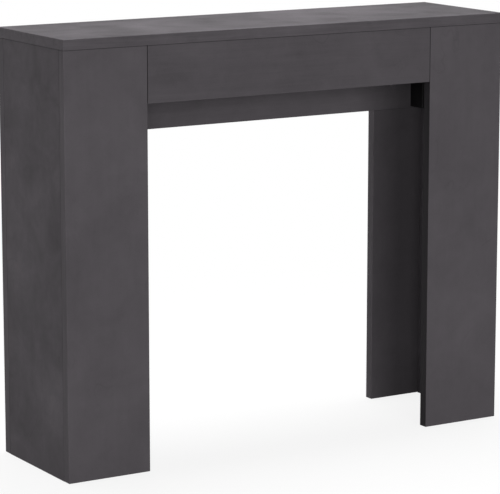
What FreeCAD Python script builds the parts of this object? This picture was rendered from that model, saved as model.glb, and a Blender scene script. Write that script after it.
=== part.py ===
import FreeCAD, Part
import os

# An extending console table of edge-banded boards. The front half carries the top, and the rear half
# slides back from under it on two telescopic slides. Millimetres: X runs along the table's width,
# +Y points to its back, and z = 0 is the floor.

# Overall size
table_width = 900.0
table_depth = 250.0
table_height = 760.0

# Board thicknesses
top_thickness = 18.0
front_thickness = 18.0
side_thickness = 18.0
rear_leg_thickness = 18.0
rail_thickness = 18.0

# Board sizes seen from the front
front_leg_width = 158.0
rear_leg_width = 125.5
apron_height = 99.0
rail_height = 176.0

# How far the top stands out past the boards under it
top_side_overhang = 1.5
top_front_overhang = 2.0
top_back_overhang = 1.0

# Gaps between the two halves, and at the apron's ends
running_gap = 1.0
apron_end_gap = 0.6

# Edge banding, with a hairline seam where one band butts against another
edge_band = 1.0
edge_round = 0.8
band_seam = 0.1

# Telescopic slides: members side by side, with a T-groove in each face that meets a neighbour
slide_members = 5
member_width = 14.0
member_height = 46.0
member_wall = 2.0
groove_height = 18.0
groove_depth = 5.5
groove_lip = 2.0
mouth_height = 10.0
slide_rear_gap = 2.0
key_length = 30.0
key_clearance = 0.3

# Guide blocks at the rear rail's ends, which keep the rear half centred between the side boards
guide_block_width = 34.5
guide_block_depth = 40.0
guide_block_lift = 3.0
guide_block_headroom = 5.0
guide_block_round = 2.0

# Floor glides
glide_height = 1.0
glide_diameter = 13.0
glide_inset = 20.0
glide_round = 0.4

# Wood dowels
dowel_diameter = 8.0
dowel_length = 30.0
dowel_bevel = 0.8
dowel_clearance = 0.1
dowel_face_share = 0.67

# Screws: pan heads on plates, and countersunk heads in slides and rail
screw_clearance = 0.15
screw_grip_share = 0.65
pan_diameter = 3.5
pan_head = 7.0
pan_head_height = 2.2
pan_round_share = 0.6
sunk_diameter = 4.0
sunk_head = 8.0
sunk_head_height = 2.4
recess_length_share = 0.55
recess_width_share = 0.14
recess_depth_share = 0.6

# Cam locks and their bolts
cam_diameter = 15.0
cam_floor = 3.5
cam_setback = 34.0
cam_clearance = 0.15
cam_thread = 5.0
cam_shank = 6.0
cam_neck = 4.0
cam_neck_length = 5.0
cam_head_length = 3.0
cam_bore = 7.6

# Steel plates and angle brackets
plate_thickness = 2.0
apron_plate_width = 60.0
apron_plate_height = 60.0
plate_screw_share = 0.25
top_bracket_width = 20.0
top_bracket_leg = 25.0
end_bracket_height = 36.0
end_bracket_slide_leg = 45.0
end_bracket_rail_leg = 30.0

# Places, as shares of the board that carries the piece
cam_height_shares = (0.12, 0.5, 0.86)
side_dowel_height_shares = (0.31, 0.69)
side_dowel_depth_shares = (0.25, 0.75)
apron_dowel_height_shares = (0.25, 0.75)
apron_dowel_width_shares = (0.25, 0.75)
apron_bracket_width_shares = (0.12, 0.5, 0.88)
rail_screw_width_share = 0.3
rail_screw_height_shares = (0.27, 0.65)
slide_screw_shares = (0.1, 0.5, 0.9)
bracket_screw_shares = (0.25, 0.75)

# How far a cut runs past the face that it opens, and how near counts as the same place
overrun = 1.0
same_place = 0.001

# Worked-out places: heights
top_underside = table_height - top_thickness
rear_top_z = top_underside - running_gap
apron_bottom_z = top_underside - apron_height
rail_bottom_z = rear_top_z - rail_height
member_top_z = top_underside - running_gap
member_bottom_z = member_top_z - member_height
groove_z = (member_top_z + member_bottom_z) / 2

# Worked-out places: across the width, on the right-hand half
half_width = table_width / 2
leg_outer_x = half_width - top_side_overhang
front_leg_inner_x = leg_outer_x - front_leg_width
rear_leg_inner_x = leg_outer_x - rear_leg_width
side_inner_x = leg_outer_x - side_thickness
side_middle_x = leg_outer_x - side_thickness / 2
apron_end_x = front_leg_inner_x - apron_end_gap
rail_end_x = side_inner_x - running_gap
guide_block_inner_x = rail_end_x - guide_block_width
last_member_inner_x = side_inner_x - slide_members * member_width - (slide_members - 1) * running_gap

# Worked-out places: from front to back
leg_front_y = top_front_overhang - table_depth / 2
leg_back_y = leg_front_y + front_thickness
front_middle_y = leg_front_y + front_thickness / 2
rear_back_y = table_depth / 2 - top_back_overhang
rear_front_y = rear_back_y - rear_leg_thickness
rail_front_y = rear_front_y - rail_thickness
guide_block_front_y = rail_front_y - guide_block_depth
side_back_y = rear_front_y - running_gap
cam_y = leg_back_y + cam_setback
member_front_y = leg_back_y + running_gap
member_rear_y = rail_front_y - slide_rear_gap

# Directions, and the board edges that can be banded as (axis, low or high end)
V = FreeCAD.Vector
RIGHT = V(1, 0, 0)
BACK = V(0, 1, 0)
UP = V(0, 0, 1)
LEFT_EDGE, RIGHT_EDGE = (0, 0), (0, 1)
FRONT_EDGE, BACK_EDGE = (1, 0), (1, 1)
BOTTOM_EDGE, TOP_EDGE = (2, 0), (2, 1)


# Shared helpers
def block(xs, ys, zs):
    """A square block between two places on each axis, given in any order."""
    low = V(min(xs), min(ys), min(zs))
    high = V(max(xs), max(ys), max(zs))
    return Part.makeBox(high.x - low.x, high.y - low.y, high.z - low.z, low)


def rod(diameter, start, end):
    """A round bar from one point to another."""
    return Part.makeCylinder(diameter / 2, (end - start).Length, start, end - start)


def placed(shape, at, along):
    """The shape with its origin at a point and its own +Z along a direction."""
    moved = shape.copy()
    moved.Placement = FreeCAD.Placement(at, FreeCAD.Rotation(UP, along))
    return moved


def between(low, high, share):
    """The place that lies a share of the way from low to high."""
    return low + (high - low) * share


def mirrored(shape):
    """The same piece on the left-hand half."""
    return shape.mirror(V(0, 0, 0), RIGHT)


def both_sides(shapes):
    """Right-hand pieces and their left-hand twins."""
    return list(shapes) + [mirrored(shape) for shape in shapes]


def lies_at(edge, axis, place):
    """Whether an edge lies in the plane at a place on an axis."""
    box = edge.BoundBox
    low = (box.XMin, box.YMin, box.ZMin)[axis]
    high = (box.XMax, box.YMax, box.ZMax)[axis]
    return abs(low - place) < same_place and abs(high - place) < same_place


def lies_on(edge, planes):
    """Whether an edge lies in one of some planes, each an axis and a place on it."""
    return any(lies_at(edge, *plane) for plane in planes)


def export(node, shapes):
    """One STEP file of a node's solids."""
    Part.makeCompound(shapes).exportStep(f"parts/{node}.step")


def export_pair(name, shape):
    """A right-hand piece and its left-hand twin, as two nodes."""
    export(f"{name}_right", [shape])
    export(f"{name}_left", [mirrored(shape)])


# Boards
def drilled(shape, holes):
    """The shape without the holes that reach it."""
    reached = [hole for hole in holes if hole.BoundBox.intersect(shape.BoundBox)]
    return shape.cut(reached) if reached else shape


def moved_in(spans, axis, end, distance):
    """Spans with one of their ends moved towards the middle."""
    moved = [list(span) for span in spans]
    moved[axis][end] += distance if end == 0 else -distance
    return moved


def board(spans, banded, holes):
    """A drilled board core, and the bands glued to its edges, rounded where they meet its faces."""
    sides = [(axis, end) for axis, span in enumerate(spans) for end in range(len(span))]
    band_planes = [(axis, spans[axis][end]) for axis, end in banded]
    face_planes = [(axis, spans[axis][end]) for axis, end in sides if (axis, end) not in banded]
    core_spans, free_spans = spans, spans
    bands = []
    for axis, end in banded:
        core_spans = moved_in(core_spans, axis, end, edge_band)
        band_spans = [list(span) for span in free_spans]
        band_spans[axis][1 - end] = core_spans[axis][end]
        free_spans = moved_in(free_spans, axis, end, edge_band + band_seam)
        strip = block(*band_spans)
        arrises = [edge for edge in strip.Edges if lies_on(edge, band_planes) and lies_on(edge, face_planes)]
        bands.append(drilled(strip.makeFillet(edge_round, arrises), holes))
    return drilled(block(*core_spans), holes), bands


def export_board(name, spans, banded, holes):
    """A board that stands once, with its bands as a second node."""
    core, bands = board(spans, banded, holes)
    export(name, [core])
    export(f"{name}_edge_band", bands)


def export_board_pair(name, spans, banded, holes):
    """A right-hand board and its left-hand twin, each with its bands."""
    core, bands = board(spans, banded, holes)
    export(f"{name}_right", [core])
    export(f"{name}_left", [mirrored(core)])
    export(f"{name}_right_edge_band", bands)
    export(f"{name}_left_edge_band", [mirrored(band) for band in bands])


# Wood dowels: the joint plane is z = 0, with the drilled face below it and the drilled edge above
def dowel(at, along, face_thickness):
    """A bevelled dowel that stands in a board's face and enters another board's edge."""
    depth = face_thickness * dowel_face_share
    plain = Part.makeCylinder(dowel_diameter / 2, dowel_length, V(0, 0, -depth))
    rims = [edge for edge in plain.Edges if len(edge.Vertexes) == 1]
    return placed(plain.makeChamfer(dowel_bevel, rims), at, along)


def dowel_bore(at, along, face_thickness):
    """The two bores that a dowel fills, with a little room round it and at both ends."""
    depth = face_thickness * dowel_face_share + dowel_clearance
    radius = dowel_diameter / 2 + dowel_clearance
    return placed(Part.makeCylinder(radius, dowel_length + 2 * dowel_clearance, V(0, 0, -depth)), at, along)


def right_dowel_places():
    """Where the right-hand dowels stand: the joint point, the way into the edge, the face's thickness."""
    places = []
    for share in side_dowel_height_shares:
        z = between(glide_height, top_underside, share)
        places.append((V(side_middle_x, leg_back_y, z), BACK, front_thickness))
    for share in side_dowel_depth_shares:
        y = between(leg_back_y, side_back_y, share)
        places.append((V(side_middle_x, y, top_underside), -UP, top_thickness))
    for share in apron_dowel_height_shares:
        z = between(apron_bottom_z, top_underside, share)
        places.append((V(front_leg_inner_x, front_middle_y, z), -RIGHT, front_thickness))
    leg_middle_x = (front_leg_inner_x + leg_outer_x) / 2
    places.append((V(leg_middle_x, front_middle_y, top_underside), -UP, top_thickness))
    return places


def apron_dowel_places():
    """Where the dowels between apron and top stand."""
    xs = [between(-apron_end_x, apron_end_x, share) for share in apron_dowel_width_shares]
    return [(V(x, front_middle_y, top_underside), -UP, top_thickness) for x in xs]


def dowel_bores():
    """The bores of every dowel."""
    right = [dowel_bore(*place) for place in right_dowel_places()]
    return both_sides(right) + [dowel_bore(*place) for place in apron_dowel_places()]


# Screws: the seat of the head is z = 0, with the shank above it
def cross_recess(face_z, head, depth):
    """The crossed slots for a screwdriver in a head's outer face."""
    reach = head * recess_length_share / 2
    narrow = head * recess_width_share / 2
    zs = (face_z, face_z + depth)
    upright = block((-narrow, narrow), (-reach, reach), zs)
    return block((-reach, reach), (-narrow, narrow), zs).fuse(upright)


def pan_screw(length, at, along):
    """A pan-head screw whose head sits on a plate."""
    plain = Part.makeCylinder(pan_head / 2, pan_head_height, V(0, 0, -pan_head_height))
    rim = [edge for edge in plain.Edges if lies_at(edge, 2, -pan_head_height)]
    head = plain.makeFillet(pan_head_height * pan_round_share, rim)
    recess = cross_recess(-pan_head_height, pan_head, pan_head_height * recess_depth_share)
    return placed(head.fuse(Part.makeCylinder(pan_diameter / 2, length)).cut(recess), at, along)


def pan_bore(length, at, along):
    """The hole that a pan-head screw's shank fills."""
    radius = pan_diameter / 2 + screw_clearance
    return placed(Part.makeCylinder(radius, length + screw_clearance), at, along)


def sunk_screw(length, at, along):
    """A countersunk screw whose head is flush with the face it is driven through."""
    head = Part.makeCone(sunk_head / 2, sunk_diameter / 2, sunk_head_height)
    recess = cross_recess(0, sunk_head, sunk_head_height * recess_depth_share)
    return placed(head.fuse(Part.makeCylinder(sunk_diameter / 2, length)).cut(recess), at, along)


def sunk_bore(length, at, along):
    """The countersink and hole that a countersunk screw fills."""
    wide = sunk_head / 2 + screw_clearance
    narrow = sunk_diameter / 2 + screw_clearance
    sink = Part.makeCone(wide, narrow, sunk_head_height)
    return placed(sink.fuse(Part.makeCylinder(narrow, length + screw_clearance)), at, along)


# Cam locks in the side boards, pulled on to bolts in the front legs
def cam_heights():
    """The heights of the cam locks in a side board."""
    return [between(glide_height, top_underside, share) for share in cam_height_shares]


def cam_seat(z):
    """The bore for a cam, open on the side board's inner face."""
    inner = V(side_inner_x, cam_y, z)
    return rod(cam_diameter, inner, inner + RIGHT * (side_thickness / 2 + cam_floor))


def cam_lock(z):
    """A cam with the slot that takes the bolt's head, and a cross for a screwdriver."""
    inner = V(side_inner_x, cam_y, z)
    drum = rod(cam_diameter - 2 * cam_clearance, inner, inner + RIGHT * (side_thickness / 2 + cam_floor))
    slot = rod(cam_bore, V(side_middle_x, leg_back_y, z), V(side_middle_x, cam_y + cam_neck / 2, z))
    cross = placed(cross_recess(0, cam_diameter, cam_floor * recess_depth_share), inner, RIGHT)
    return drum.cut([slot, cross])


def cam_bolt(z):
    """A bolt screwed into the front leg, with a necked head for the cam."""
    joint = V(side_middle_x, leg_back_y, z)
    tip = joint + BACK * cam_setback
    head_start = tip - BACK * cam_head_length
    neck_start = head_start - BACK * cam_neck_length
    thread = rod(cam_thread, joint - BACK * front_thickness * screw_grip_share, joint)
    shank = rod(cam_shank, joint, neck_start)
    neck = rod(cam_neck, neck_start, head_start)
    return thread.fuse([shank, neck, rod(cam_shank, head_start, tip)])


def cam_bolt_bore(z):
    """The bores for a cam bolt in the front leg's back face and the side board's front edge."""
    joint = V(side_middle_x, leg_back_y, z)
    thread_end = joint - BACK * (front_thickness * screw_grip_share + cam_clearance)
    thread = rod(cam_thread + 2 * cam_clearance, thread_end, joint)
    return thread.fuse(rod(cam_bore, joint, joint + BACK * cam_setback))


def cam_bores():
    """Every bore that the right-hand cam locks and bolts need."""
    heights = cam_heights()
    return [cam_seat(z) for z in heights] + [cam_bolt_bore(z) for z in heights]


# Steel plates behind the apron's two end joints
def apron_plate_middle():
    """The middle of the right-hand plate, on the boards' back face."""
    return V(front_leg_inner_x, leg_back_y, (apron_bottom_z + top_underside) / 2)


def apron_plate_seats():
    """Where the right-hand plate's screw heads sit, on its outer face."""
    middle = apron_plate_middle() + BACK * plate_thickness
    x_step = apron_plate_width * plate_screw_share
    z_step = apron_plate_height * plate_screw_share
    return [middle + RIGHT * x + UP * z for x in (-x_step, x_step) for z in (-z_step, z_step)]


def front_screw_length():
    """A screw through a plate into a front board."""
    return plate_thickness + front_thickness * screw_grip_share


def apron_plate_bores():
    """The holes of the right-hand plate's screws."""
    return [pan_bore(front_screw_length(), seat, -BACK) for seat in apron_plate_seats()]


def apron_plate():
    """The right-hand plate, across the joint between apron and front leg."""
    middle = apron_plate_middle()
    xs = (middle.x - apron_plate_width / 2, middle.x + apron_plate_width / 2)
    zs = (middle.z - apron_plate_height / 2, middle.z + apron_plate_height / 2)
    return block(xs, (middle.y, middle.y + plate_thickness), zs).cut(apron_plate_bores())


# Angle brackets that hold the top to the apron and the front legs
def top_bracket_places():
    """The brackets' middles along the width: on the apron, and one on each front leg."""
    xs = [between(-apron_end_x, apron_end_x, share) for share in apron_bracket_width_shares]
    leg_x = (front_leg_inner_x + apron_plate_width / 2 + last_member_inner_x) / 2
    return xs + [leg_x, -leg_x]


def top_screw_length():
    """A screw through a bracket into the top."""
    return plate_thickness + top_thickness * screw_grip_share


def top_bracket_screws(make, x):
    """Both screws of one bracket, or both of their holes, made by the function given."""
    upright_seat = V(x, leg_back_y + plate_thickness, top_underside - top_bracket_leg / 2)
    flat_seat = V(x, leg_back_y + top_bracket_leg / 2, top_underside - plate_thickness)
    return [make(front_screw_length(), upright_seat, -BACK), make(top_screw_length(), flat_seat, UP)]


def top_bracket_bores():
    """The holes of every top bracket's screws."""
    return [bore for x in top_bracket_places() for bore in top_bracket_screws(pan_bore, x)]


def top_bracket(x):
    """An angle with one leg on the boards' back face and one under the top."""
    xs = (x - top_bracket_width / 2, x + top_bracket_width / 2)
    ys = (leg_back_y, leg_back_y + top_bracket_leg)
    zs = (top_underside - top_bracket_leg, top_underside)
    upright = block(xs, (leg_back_y, leg_back_y + plate_thickness), zs)
    flat = block(xs, ys, (top_underside - plate_thickness, top_underside))
    return upright.fuse(flat).removeSplitter().cut(top_bracket_screws(pan_bore, x))


# Telescopic slides, the right-hand one: member 0 is fixed to the side board, the last one to the rail
def member_outer_x(number):
    """The face of a member that looks at the side board."""
    return side_inner_x - number * (member_width + running_gap)


def groove(face_x, inward):
    """The T-groove cut into a member from one of its faces."""
    ys = (member_front_y - overrun, rail_front_y + overrun)
    lip_x = face_x + inward * groove_lip
    mouth_zs = (groove_z - mouth_height / 2, groove_z + mouth_height / 2)
    groove_zs = (groove_z - groove_height / 2, groove_z + groove_height / 2)
    slot_xs = (lip_x, face_x + inward * groove_depth)
    return block((face_x, lip_x), ys, mouth_zs).fuse(block(slot_xs, ys, groove_zs))


def chambers(inner_x, outer_x):
    """The two hollow chambers that run along a member, above and below its grooves."""
    xs = (inner_x + member_wall, outer_x - member_wall)
    ys = (member_front_y - overrun, rail_front_y + overrun)
    low = groove_height / 2 + member_wall
    high = member_height / 2 - member_wall
    return [block(xs, ys, (groove_z + side * low, groove_z + side * high)) for side in (-1, 1)]


def slide_member(number):
    """One aluminium extrusion of a slide."""
    outer_x = member_outer_x(number)
    inner_x = outer_x - member_width
    last = number == slide_members - 1
    rear_y = rail_front_y if last else member_rear_y
    cuts = chambers(inner_x, outer_x)
    if number > 0:
        cuts.append(groove(outer_x, -1))
    if not last:
        cuts.append(groove(inner_x, 1))
    bar = block((inner_x, outer_x), (member_front_y, rear_y), (member_bottom_z, member_top_z))
    return bar.cut(cuts)


def slide_key(face_x, toward, front_y):
    """A nylon key that fills the groove of the member behind face_x and runs free in its neighbour's."""
    ys = (front_y, front_y + key_length)
    free_neck = running_gap + groove_lip + key_clearance
    free_end = running_gap + groove_depth - key_clearance

    def slab(start, end, height):
        xs = (face_x + toward * start, face_x + toward * end)
        return block(xs, ys, (groove_z - height / 2, groove_z + height / 2))

    head = slab(groove_lip, groove_depth, groove_height)
    neck = slab(0, groove_lip, mouth_height)
    runner_neck = slab(0, -free_neck, mouth_height - 2 * key_clearance)
    runner = slab(-free_neck, -free_end, groove_height - 2 * key_clearance)
    return head.fuse([neck, runner_neck, runner]).removeSplitter()


def member_keys(number):
    """The keys fixed to a member: one at the front towards the side board, one at the rear inwards."""
    keys = []
    outer_x = member_outer_x(number)
    if number > 0:
        keys.append(slide_key(outer_x, -1, member_front_y))
    if number < slide_members - 1:
        keys.append(slide_key(outer_x - member_width, 1, member_rear_y - key_length))
    return keys


def slide_screws(make):
    """The right-hand fixed member's screws, or their holes, with heads flush in its groove."""
    seat_x = side_inner_x - member_width + groove_depth
    length = member_width - groove_depth + side_thickness * screw_grip_share
    ys = [between(member_front_y, member_rear_y - key_length, share) for share in slide_screw_shares]
    return [make(length, V(seat_x, y, groove_z), RIGHT) for y in ys]


# Angle brackets that carry the rear rail on the last slide members
def end_bracket_bolts(make):
    """The right-hand bracket's screws into the last member, or their holes."""
    length = plate_thickness + (member_width - groove_depth) * screw_grip_share
    seat_x = last_member_inner_x - plate_thickness
    front_y = rail_front_y - end_bracket_slide_leg
    ys = [between(front_y, rail_front_y, share) for share in bracket_screw_shares]
    return [make(length, V(seat_x, y, groove_z), RIGHT) for y in ys]


def end_bracket_screws(make):
    """The right-hand bracket's screws into the rear rail, or their holes."""
    length = plate_thickness + rail_thickness * screw_grip_share
    x = last_member_inner_x - plate_thickness - (end_bracket_rail_leg - plate_thickness) / 2
    low = groove_z - end_bracket_height / 2
    zs = [between(low, low + end_bracket_height, share) for share in bracket_screw_shares]
    return [make(length, V(x, rail_front_y - plate_thickness, z), BACK) for z in zs]


def end_bracket():
    """The right-hand angle between the last member's inner face and the rear rail."""
    zs = (groove_z - end_bracket_height / 2, groove_z + end_bracket_height / 2)
    slide_xs = (last_member_inner_x - plate_thickness, last_member_inner_x)
    rail_xs = (last_member_inner_x - end_bracket_rail_leg, last_member_inner_x)
    slide_leg = block(slide_xs, (rail_front_y - end_bracket_slide_leg, rail_front_y), zs)
    rail_leg = block(rail_xs, (rail_front_y - plate_thickness, rail_front_y), zs)
    angle = slide_leg.fuse(rail_leg).removeSplitter()
    return angle.cut(end_bracket_bolts(pan_bore) + end_bracket_screws(pan_bore))


# Screws into the rear legs, the inner ones through the rail and the outer ones through guide block and rail
def rail_screws(make):
    """The right-hand screws between rail and rear leg, or their holes."""
    length = rail_thickness + rear_leg_thickness * screw_grip_share
    inner_x = between(rear_leg_inner_x, rail_end_x, rail_screw_width_share)
    outer_x = guide_block_inner_x + guide_block_width / 2
    zs = [between(rail_bottom_z, rear_top_z, share) for share in rail_screw_height_shares]
    inner = [make(length, V(inner_x, rail_front_y, z), BACK) for z in zs]
    outer = [make(length + guide_block_depth, V(outer_x, guide_block_front_y, z), BACK) for z in zs]
    return inner + outer


# Guide blocks, which run beside the side boards
def guide_block():
    """The right-hand block, in front of the rail's end, with its front rounded."""
    zs = (rail_bottom_z + guide_block_lift, member_bottom_z - guide_block_headroom)
    plain = block((guide_block_inner_x, rail_end_x), (guide_block_front_y, rail_front_y), zs)
    rim = [edge for edge in plain.Edges if lies_at(edge, 1, guide_block_front_y)]
    return plain.makeFillet(guide_block_round, rim).cut(rail_screws(sunk_bore))


# Floor glides
def glide(x, y):
    """A round glide under the middle of a board."""
    disc = rod(glide_diameter, V(x, y, 0), V(x, y, glide_height))
    rim = [edge for edge in disc.Edges if lies_at(edge, 2, 0)]
    return disc.makeFillet(glide_round, rim)


def front_glides():
    """The right-hand glides of the front half: under the front leg and the back of the side board."""
    leg_xs = (front_leg_inner_x + glide_inset, leg_outer_x - glide_inset)
    return [glide(x, front_middle_y) for x in leg_xs] + [glide(side_middle_x, side_back_y - glide_inset)]


def rear_glides():
    """The right-hand glides under the rear leg."""
    y = (rear_front_y + rear_back_y) / 2
    return [glide(x, y) for x in (rear_leg_inner_x + glide_inset, leg_outer_x - glide_inset)]


# The nodes of the front half
def make_top():
    """The table top, banded all round."""
    ys = (-table_depth / 2, table_depth / 2)
    spans = ((-half_width, half_width), ys, (top_underside, table_height))
    edges = (FRONT_EDGE, BACK_EDGE, LEFT_EDGE, RIGHT_EDGE)
    export_board("table_top", spans, edges, dowel_bores() + top_bracket_bores())


def make_front_boards():
    """Front legs, side boards and apron."""
    zs = (glide_height, top_underside)
    front_ys = (leg_front_y, leg_back_y)
    fittings = dowel_bores() + top_bracket_bores() + both_sides(apron_plate_bores())
    leg_spans = ((front_leg_inner_x, leg_outer_x), front_ys, zs)
    export_board_pair("front_leg", leg_spans, (LEFT_EDGE, RIGHT_EDGE), fittings + cam_bores())
    side_spans = ((side_inner_x, leg_outer_x), (leg_back_y, side_back_y), zs)
    side_holes = dowel_bores() + cam_bores() + slide_screws(sunk_bore)
    export_board_pair("side_panel", side_spans, (BACK_EDGE,), side_holes)
    apron_spans = ((-apron_end_x, apron_end_x), front_ys, (apron_bottom_z, top_underside))
    export_board("front_apron", apron_spans, (BOTTOM_EDGE,), fittings)


def make_front_fittings():
    """Cam locks, dowels, plates, brackets, their screws, and the front glides."""
    heights = cam_heights()
    export("cam_locks", both_sides([cam_lock(z) for z in heights]))
    export("cam_bolts", both_sides([cam_bolt(z) for z in heights]))
    side_dowels = both_sides([dowel(*place) for place in right_dowel_places()])
    export("wood_dowels", side_dowels + [dowel(*place) for place in apron_dowel_places()])
    export("apron_plates", both_sides([apron_plate()]))
    plate_screws = [pan_screw(front_screw_length(), seat, -BACK) for seat in apron_plate_seats()]
    export("apron_plate_screws", both_sides(plate_screws))
    places = top_bracket_places()
    export("top_brackets", [top_bracket(x) for x in places])
    export("top_bracket_screws", [screw for x in places for screw in top_bracket_screws(pan_screw, x)])
    export("front_glides", both_sides(front_glides()))


# The nodes of the slides
def make_slides():
    """The members and keys of both slides, from the side boards inwards."""
    last = slide_members - 1
    export_pair("fixed_slide", slide_member(0).cut(slide_screws(sunk_bore)))
    export("fixed_slide_keys", both_sides(member_keys(0)))
    export("slide_screws", both_sides(slide_screws(sunk_screw)))
    for number in range(1, last):
        export_pair(f"stage_{number}_slide", slide_member(number))
        keys = member_keys(number)
        export(f"stage_{number}_keys_right", keys)
        export(f"stage_{number}_keys_left", [mirrored(key) for key in keys])
    export_pair("end_slide", slide_member(last).cut(end_bracket_bolts(pan_bore)))
    export("end_slide_keys", both_sides(member_keys(last)))


# The nodes of the rear half
def make_rear_boards():
    """Rear legs and rear rail."""
    screws = rail_screws(sunk_bore)
    leg_spans = ((rear_leg_inner_x, leg_outer_x), (rear_front_y, rear_back_y), (glide_height, rear_top_z))
    export_board_pair("rear_leg", leg_spans, (LEFT_EDGE, RIGHT_EDGE, TOP_EDGE), screws)
    rail_spans = ((-rail_end_x, rail_end_x), (rail_front_y, rear_front_y), (rail_bottom_z, rear_top_z))
    rail_holes = both_sides(screws + end_bracket_screws(pan_bore))
    edges = (LEFT_EDGE, RIGHT_EDGE, BOTTOM_EDGE, TOP_EDGE)
    export_board("rear_rail", rail_spans, edges, rail_holes)


def make_rear_fittings():
    """Guide blocks, rail screws, the brackets on the last slide members, and the rear glides."""
    export("guide_blocks", both_sides([guide_block()]))
    export("rail_screws", both_sides(rail_screws(sunk_screw)))
    export("end_brackets", both_sides([end_bracket()]))
    export("end_bracket_bolts", both_sides(end_bracket_bolts(pan_screw)))
    export("end_bracket_screws", both_sides(end_bracket_screws(pan_screw)))
    export("rear_glides", both_sides(rear_glides()))


os.makedirs("parts", exist_ok=True)
make_top()
make_front_boards()
make_front_fittings()
make_slides()
make_rear_boards()
make_rear_fittings()
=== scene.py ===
import math

import bmesh
import bpy
from bpy.props import FloatProperty, FloatVectorProperty, IntProperty, PointerProperty
from mathutils import Matrix, Vector


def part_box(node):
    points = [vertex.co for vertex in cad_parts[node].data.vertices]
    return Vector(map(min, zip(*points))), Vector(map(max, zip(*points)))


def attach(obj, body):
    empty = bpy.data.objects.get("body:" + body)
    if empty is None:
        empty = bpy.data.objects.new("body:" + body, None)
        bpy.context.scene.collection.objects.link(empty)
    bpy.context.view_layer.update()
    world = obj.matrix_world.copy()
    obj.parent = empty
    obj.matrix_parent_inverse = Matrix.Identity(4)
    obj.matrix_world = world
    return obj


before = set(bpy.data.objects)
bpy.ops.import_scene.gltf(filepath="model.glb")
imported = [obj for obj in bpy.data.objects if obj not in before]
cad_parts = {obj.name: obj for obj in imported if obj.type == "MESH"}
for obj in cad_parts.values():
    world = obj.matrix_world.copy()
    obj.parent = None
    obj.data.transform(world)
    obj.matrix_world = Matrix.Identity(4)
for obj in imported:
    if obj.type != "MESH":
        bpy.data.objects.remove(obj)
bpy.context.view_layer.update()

bl_info = {
    "name": "Extending console table",
    "version": (1, 0, 0),
    "blender": (4, 5, 0),
    "location": "3D View > Sidebar > Console table",
    "description": "Finishes, cover caps and studio for an extending console table",
    "category": "Object",
}

# Which way the printed decor runs on each board, and which way the board is thin
BOARDS = {
    "table_top": ("X", "Z"),
    "front_leg_left": ("Z", "Y"),
    "front_leg_right": ("Z", "Y"),
    "side_panel_left": ("Z", "X"),
    "side_panel_right": ("Z", "X"),
    "front_apron": ("X", "Y"),
    "rear_leg_left": ("Z", "Y"),
    "rear_leg_right": ("Z", "Y"),
    "rear_rail": ("X", "Y"),
}

# The boards that butt against each board where the joint shows as a line of painted shade, and how open the
# joint is, which sets how dark that shade is
NEIGHBOURS = {
    "table_top": {},
    "front_leg_left": {"table_top": 1.0, "front_apron": 1.0, "side_panel_left": 0.3},
    "front_leg_right": {"table_top": 1.0, "front_apron": 1.0, "side_panel_right": 0.3},
    "side_panel_left": {"table_top": 1.0, "front_leg_left": 0.3},
    "side_panel_right": {"table_top": 1.0, "front_leg_right": 0.3},
    "front_apron": {"table_top": 1.0, "front_leg_left": 1.0, "front_leg_right": 1.0},
    "rear_leg_left": {"rear_rail": 1.0},
    "rear_leg_right": {"rear_rail": 1.0},
    "rear_rail": {"rear_leg_left": 1.0, "rear_leg_right": 1.0},
}
SLIDE_STAGES = ("fixed", "stage_1", "stage_2", "stage_3", "end")
STEEL_PARTS = (
    "apron_plates", "apron_plate_screws", "top_brackets", "top_bracket_screws", "slide_screws",
    "rail_screws", "end_brackets", "end_bracket_bolts", "end_bracket_screws",
)
AXES = {"X": Vector((1, 0, 0)), "Y": Vector((0, 1, 0)), "Z": Vector((0, 0, 1))}

# Turns that bring an axis of the object on to the pattern's own Z, along which it runs
RUN_TURNS = {"X": (0, math.radians(-90), 0), "Y": (math.radians(90), 0, 0), "Z": (0, 0, 0)}

# The first board's place in the endless decor, and the step from each board's place to the next one's
DECOR_START = (0.0, 1.13, 0.29)
DECOR_STEP = (0.37, 0.61, 0.83)

# Noises of the decor that grow with its clouds: scale against theirs, detail, roughness and bend
CLOUD_LAYERS = {
    "drift": (0.4, 2.0, 0.5, 0.3),
    "clouds": (1.0, 5.0, 0.58, 0.7),
    "mottle": (4.5, 4.0, 0.62, 0.4),
    "creases": (0.55, 2.0, 0.45, 1.4),
    "crease patches": (0.7, 1.0, 0.5, 0.0),
}

# Noises of the decor drawn out along its run: width against length, scale, detail, roughness and bend
STREAK_LAYERS = {
    "streaks": (0.07, 95.0, 4.0, 0.6, 0.15),
    "fine streaks": (0.02, 480.0, 2.0, 0.5, 0.0),
}

# How much each noise adds to the decor's clouds, streaks and roughness
CLOUD_SHARES = {"drift": 0.8, "clouds": 1.0, "mottle": 0.45}
STREAK_SHARES = {"streaks": 1.0, "fine streaks": 0.5}
ROUGHNESS_SHARES = {"mottle": 0.22, "clouds": 0.18, "fine streaks": 0.1}

# Creases lie where their noise is near a half: how near, and how dark they are
CREASE_WIDTH, CREASE_DARKNESS = 0.014, 0.13

# How much mottle and streaks add to the height of the decor's surface
MOTTLE_RELIEF, STREAK_RELIEF = 0.6, 0.5

# Tones against the board's colour: the decor's two ends, a rubbed edge, and the painted shade of a joint
DARK_TONE, LIGHT_TONE = 0.62, 1.38
RUB_TONE = 1.6
JOINT_SHADE_TONE = 0.12

# How squarely a face looks along an axis where it starts to count as facing it, and where it fully does
FACING = (0.4, 0.6)

# Bands against boards, in streaks and in depth, and the roughness of raw chips
BAND_STREAK_GAIN, BAND_RELIEF = 2.5, 0.6
CHIP_ROUGHNESS = 0.9

# Colours of the chips in a raw edge and of the gaps between them
CHIP_DARK = (0.20, 0.125, 0.066, 1)
CHIP_LIGHT = (0.46, 0.32, 0.19, 1)
CHIP_GAP = (0.09, 0.052, 0.028, 1)
WHITE = (1, 1, 1, 1)

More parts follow.
